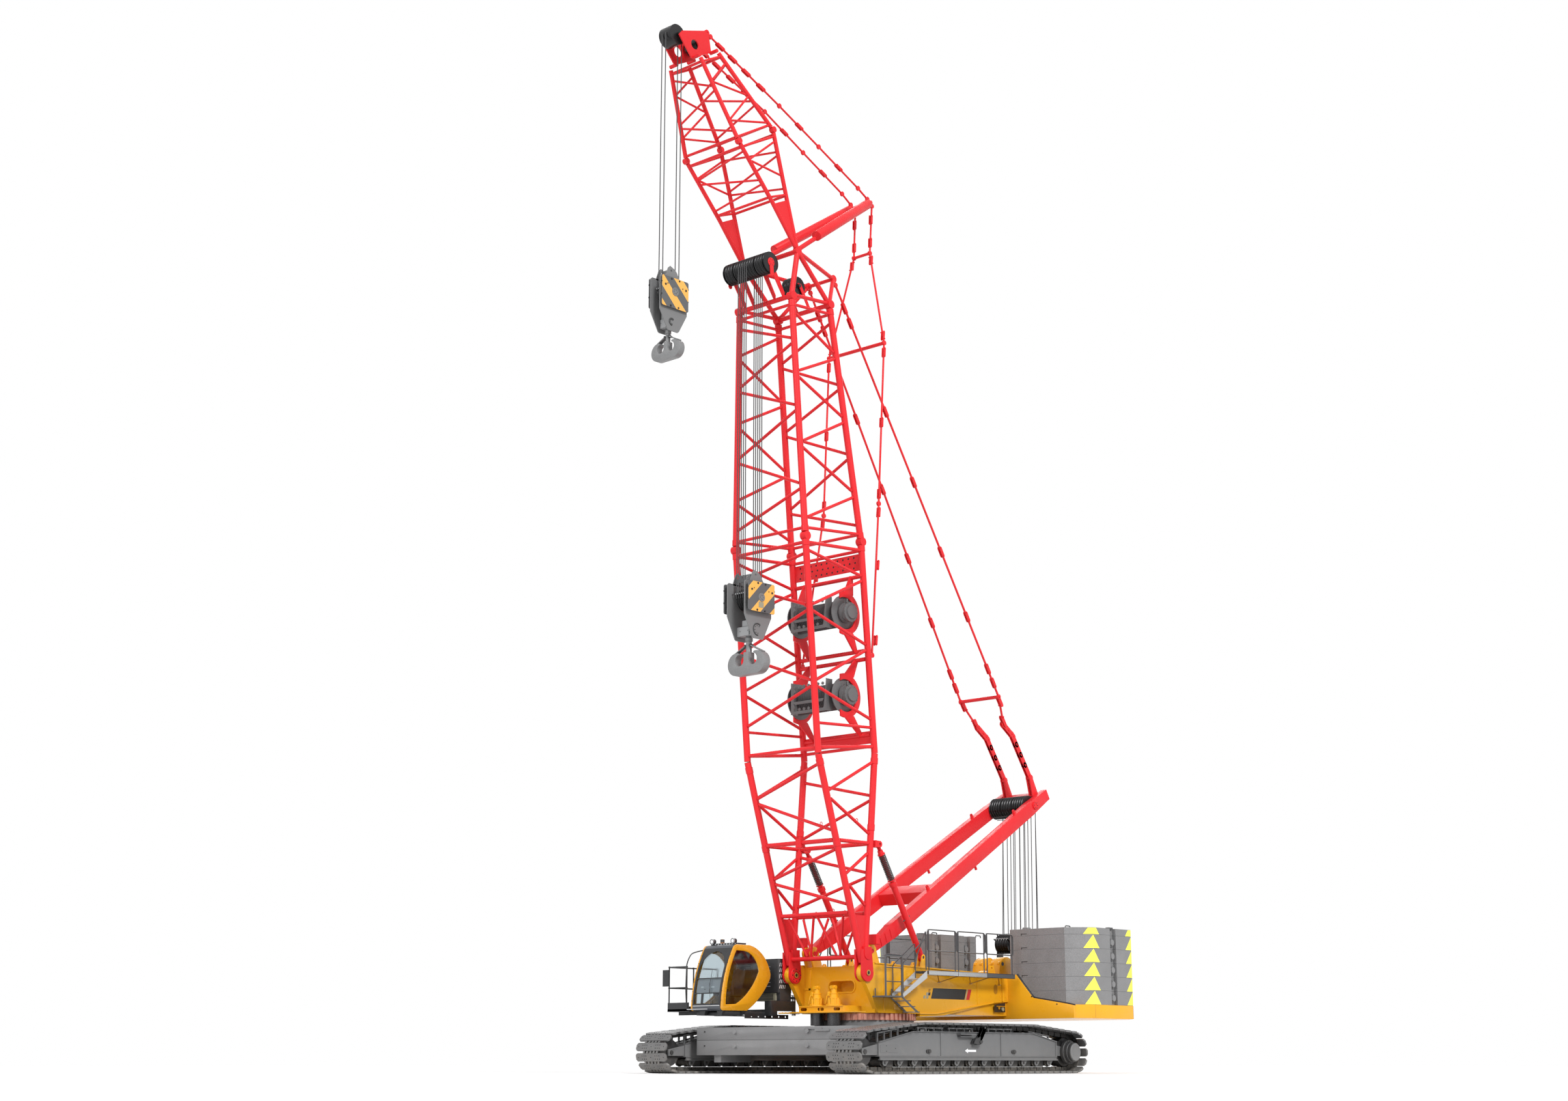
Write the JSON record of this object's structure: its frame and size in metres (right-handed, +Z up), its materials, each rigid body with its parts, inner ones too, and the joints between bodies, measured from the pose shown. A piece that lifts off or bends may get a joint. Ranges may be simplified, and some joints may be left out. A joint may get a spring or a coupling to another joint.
{
  "type": "crawler crane",
  "caption": "Lattice-boom crawler crane with fixed jib, rear mast, stacked counterweights, side cab and hanging hook blocks.",
  "frame": {"origin": "on the ground under the slewing axis", "axes": "+X forward along the tracks and the boom, +Y to the crane's left, +Z up"},
  "size_m": [16.71, 8.326, 29.4428],
  "materials": {
    "red_paint": "gloss",
    "yellow_paint": "gloss",
    "grey_paint": "satin",
    "dark_grey_paint": "satin",
    "track_steel": "matte",
    "ring_steel": "satin",
    "sheave_steel": "satin",
    "rope_steel": "satin",
    "hook_steel": "satin",
    "cab_glass": "clear",
    "seat_fabric": "matte"
  },
  "bodies": {
    "undercarriage": {"carbody": "grey_paint", "carbody_ballast": "grey_paint", "slew_ring": "ring_steel", "track_frames": "grey_paint", "track_left": "track_steel", "track_right": "track_steel", "track_rollers": "track_steel", "track_wheels": "track_steel"},
    "superstructure": {"main_frame": "yellow_paint", "engine": "dark_grey_paint", "slew_drives": "yellow_paint", "side_decks": "dark_grey_paint", "access_steps": "dark_grey_paint", "counterweight_tray": "yellow_paint", "counterweights": "grey_paint", "hoist_sheaves": "sheave_steel", "cab_shell": "yellow_paint", "cab_inner_side": "yellow_paint", "cab_outer_side": "yellow_paint", "cab_glass": "cab_glass", "cab_seat": "seat_fabric", "cab_carrier": "dark_grey_paint", "side_cabinet": "grey_paint", "cab_walkway": "dark_grey_paint", "cab_roof_kit": "dark_grey_paint"},
    "cab_door": {"cab_door": "yellow_paint", "cab_door_glass": "cab_glass"},
    "mast": {"mast_frame": "red_paint", "mast_sheaves": "sheave_steel"},
    "backstop_lower": {"backstop_tubes": "red_paint"},
    "backstop_upper": {"backstop_rods": "red_paint"},
    "boom": {"boom_base": "red_paint", "boom_winch_bay": "red_paint", "winch_cradle": "red_paint", "hoist_winches": "sheave_steel", "boom_top": "red_paint", "boom_head": "red_paint", "head_sheaves": "sheave_steel", "jib_base": "red_paint", "jib_top": "red_paint", "jib_head": "red_paint", "jib_sheaves": "sheave_steel", "jib_strut": "red_paint", "jib_stays": "red_paint", "boom_stays": "red_paint"},
    "main_block": {"main_hoist_ropes": "rope_steel", "main_hook_block": "yellow_paint"},
    "main_hook": {"main_hook": "hook_steel"},
    "jib_block": {"jib_hoist_ropes": "rope_steel", "jib_hook_block": "yellow_paint"},
    "jib_hook": {"jib_hook": "hook_steel"}
  },
  "joints": [
    {"name": "slewing", "type": "hinge", "parent": "undercarriage", "child": "superstructure", "pos_m": [0, 0, 1.54], "axis": [0, 0, 1], "continuous": true},
    {"name": "boom_luff", "type": "hinge", "parent": "superstructure", "child": "boom", "pos_m": [1.562, 0, 2.712], "axis": [0, 1, 0], "range_deg": [-1, 50]},
    {"name": "mast_luff", "type": "hinge", "parent": "superstructure", "child": "mast", "pos_m": [1.08, 0, 3.33], "axis": [0, 1, 0], "range_deg": [-1.1, 54]},
    {"name": "backstop_swing", "type": "hinge", "parent": "superstructure", "child": "backstop_lower", "pos_m": [-0.948, 0, 3.215], "axis": [0, 1, 0], "range_deg": [-0.7, 33.5]},
    {"name": "backstop_slide", "type": "slide", "parent": "backstop_lower", "child": "backstop_upper", "axis": [0.5232, 0, 0.8522], "range_m": [-0.036, 1.752]},
    {"name": "main_rope_swing", "type": "hinge", "parent": "boom", "child": "main_block", "pos_m": [4.8, 0, 22.8], "axis": [0, 1, 0], "range_deg": [-50.1, 1.1]},
    {"name": "main_hook_swivel", "type": "hinge", "parent": "main_block", "child": "main_hook", "pos_m": [4.8, 0, 11.5], "axis": [0, 0, 1], "continuous": true},
    {"name": "jib_rope_swing", "type": "hinge", "parent": "boom", "child": "jib_block", "pos_m": [8.09, 0, 28.96], "axis": [0, 1, 0], "range_deg": [-50.1, 1.1]},
    {"name": "jib_hook_swivel", "type": "hinge", "parent": "jib_block", "child": "jib_hook", "pos_m": [8.09, 0, 19.8], "axis": [0, 0, 1], "continuous": true},
    {"name": "cab_door_slide", "type": "slide", "parent": "superstructure", "child": "cab_door", "axis": [-1, 0, 0], "range_m": [0, 0.7]}
  ],
  "couplings": [
    {"joint": "mast_luff", "follows": "boom_luff", "ratio": 1.077},
    {"joint": "backstop_swing", "follows": "boom_luff", "ratio": 0.667},
    {"joint": "backstop_slide", "follows": "boom_luff", "m_per_rad": 2.005},
    {"joint": "main_rope_swing", "follows": "boom_luff", "ratio": -1},
    {"joint": "jib_rope_swing", "follows": "boom_luff", "ratio": -1}
  ]
}
